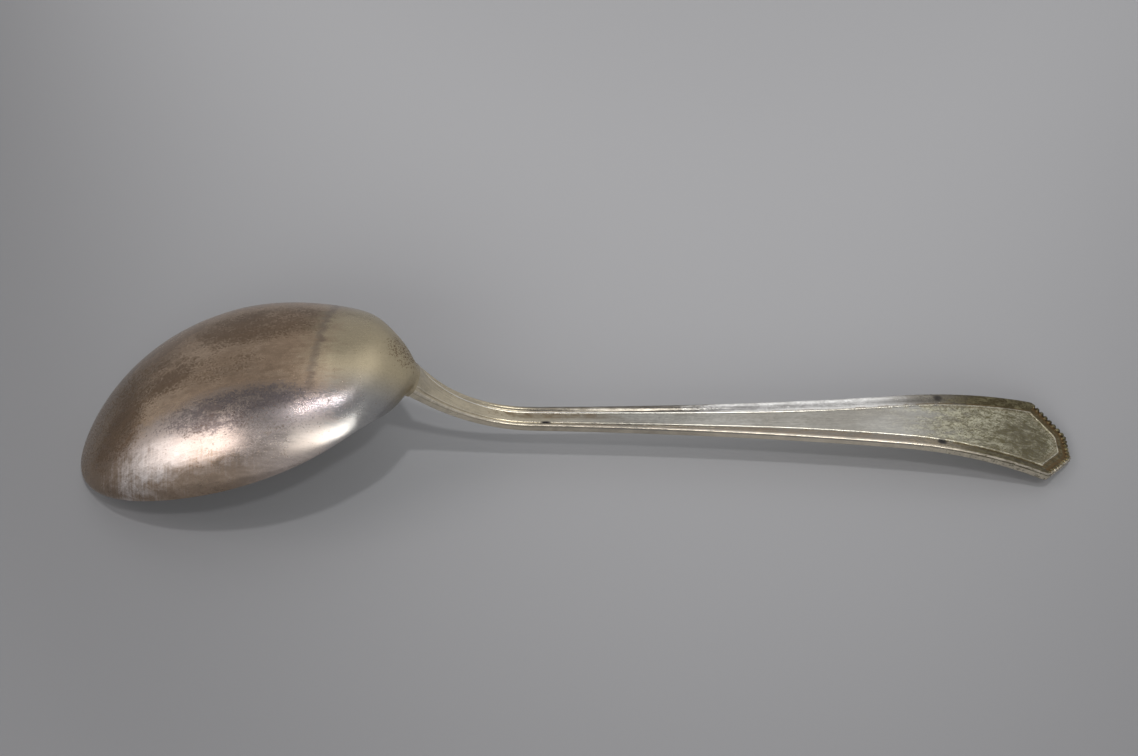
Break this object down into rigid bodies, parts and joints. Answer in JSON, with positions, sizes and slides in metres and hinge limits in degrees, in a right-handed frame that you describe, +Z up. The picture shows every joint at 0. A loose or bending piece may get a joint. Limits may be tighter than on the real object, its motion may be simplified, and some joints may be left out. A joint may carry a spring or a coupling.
{
  "type": "soup spoon",
  "caption": "Oval soup spoon with a rounded bowl, a narrow neck and a flat handle that widens to a clipped, beaded end with a sunk panel on its back; for eating soup.",
  "frame": {"origin": "middle of the spoon's length and width on the table it lies on, face down", "axes": "+X from the bowl's tip to the handle's end, +Z up out of the bowl's back, the two sides alike about y = 0"},
  "size_m": [0.1856, 0.0448, 0.0266],
  "materials": {
    "bowl_plate": "silver plate with brown tarnish and fine scratches, soft mirror",
    "handle_plate": "worn silver plate, pale grey-green, with dirt in the recesses"
  },
  "bodies": {
    "root": {"bowl": "bowl_plate", "handle": "handle_plate"}
  },
  "joints": []
}
